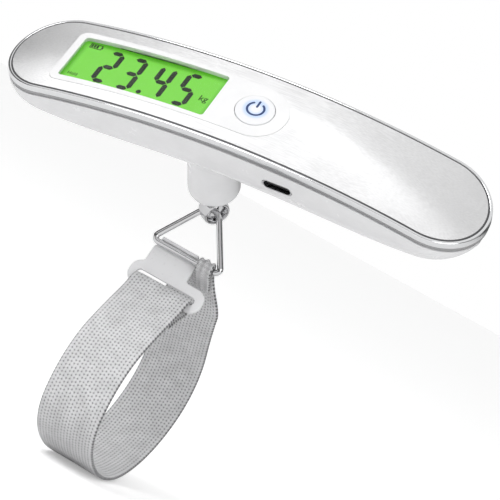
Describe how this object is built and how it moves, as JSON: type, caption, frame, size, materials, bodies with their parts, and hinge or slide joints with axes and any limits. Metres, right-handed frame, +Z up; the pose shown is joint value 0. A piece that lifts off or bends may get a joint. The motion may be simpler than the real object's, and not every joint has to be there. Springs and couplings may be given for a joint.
{
  "type": "digital luggage scale",
  "caption": "Handheld digital luggage scale with an arched brushed handle, green display, power button, charging port, triangle ring and woven strap.",
  "frame": {"origin": "crown of the handle's top face at mid length, where the hand holds it", "axes": "+X along the handle towards the plain end, +Y to the rear, +Z up; the handle is held turned 52 degrees about X, display to the front, with its plain end lifted 7 degrees, and the strap hangs plumb below"},
  "size_m": [0.1492, 0.0784, 0.1309],
  "materials": {
    "white_shell": "fine satin",
    "dark_frame": "satin",
    "white_panel": "gloss",
    "white_button": "satin",
    "acetal": "matte",
    "chrome_plating": "mirror",
    "brushed_plate": "brushed lengthwise",
    "clear_window": "clear",
    "lcd_glass": "clear with dark segments",
    "backlight_green": "lit diffuser",
    "grey_rubber": "matte",
    "black_plastic": "matte",
    "switch_cap": "matte",
    "green_board": "solder mask",
    "black_chip": "moulded",
    "socket_steel": "drawn",
    "amber_film": "film",
    "battery_wrap": "foil pouch",
    "foam_pad": "foam",
    "ivory_plastic": "matte",
    "red_wire": "wire sleeve",
    "black_wire": "wire sleeve",
    "white_wire": "wire sleeve",
    "green_wire": "wire sleeve",
    "zinc_steel": "zinc plated",
    "cell_alloy": "machined",
    "gauge_foil": "foil",
    "washer_steel": "polished",
    "polished_steel": "polished",
    "black_screw": "black oxide",
    "ring_steel": "polished",
    "white_coated_metal": "satin coat",
    "grey_webbing": "woven"
  },
  "bodies": {
    "handle": {"amplifier_chip": "black_chip", "backlight": "backlight_green", "battery": "battery_wrap", "battery_lead_minus": "black_wire", "battery_lead_plus": "red_wire", "battery_pad": "foam_pad", "battery_plug": "ivory_plastic", "board_flex": "amber_film", "boss_bush": "acetal", "cell_bracket": "zinc_steel", "cell_screws": "zinc_steel", "charge_board": "green_board", "charge_chip": "black_chip", "charging_socket": "socket_steel", "chrome_trim": "chrome_plating", "contact_strip": "grey_rubber", "control_panel": "white_panel", "controller_chip": "black_chip", "display_window": "clear_window", "gauge_lead_black": "black_wire", "gauge_lead_green": "green_wire", "gauge_lead_red": "red_wire", "gauge_lead_white": "white_wire", "housing_screws": "black_screw", "lcd_panel": "lcd_glass", "load_cell": "cell_alloy", "lower_shell": "white_shell", "main_board": "green_board", "socket_tongue": "black_plastic", "strain_gauges": "gauge_foil", "switch_body": "black_plastic", "thrust_washer": "washer_steel", "top_plate": "brushed_plate", "upper_frame": "dark_frame"},
    "button": {"power_button": "white_button", "switch_plunger": "switch_cap"},
    "eye": {"load_eye": "polished_steel", "rod_nut": "zinc_steel"},
    "ring": {"triangle_ring": "ring_steel"},
    "strap": {"strap_webbing": "grey_webbing", "strap_rear_end": "grey_webbing", "hook_plate": "white_coated_metal", "strap_front_end": "grey_webbing"}
  },
  "joints": [
    {"name": "button_press", "type": "slide", "parent": "handle", "child": "button", "axis": [0.075, 0.788, -0.6111], "range_m": [0, 0.0004], "stiffness_N_per_m": 500, "springref_m": -0.001},
    {"name": "eye_swivel", "type": "hinge", "parent": "handle", "child": "eye", "pos_m": [-0.00588, 0.03727, -0.03006], "axis": [-0.075, -0.788, 0.6111], "continuous": true},
    {"name": "ring_swing", "type": "hinge", "parent": "eye", "child": "ring", "pos_m": [-0.00588, 0.03727, -0.03006], "axis": [1, 0, 0], "range_deg": [-8, 120]},
    {"name": "strap_swing", "type": "hinge", "parent": "ring", "child": "strap", "pos_m": [-0.00588, 0.03527, -0.04634], "axis": [1, 0, 0], "range_deg": [-12, 15]}
  ]
}
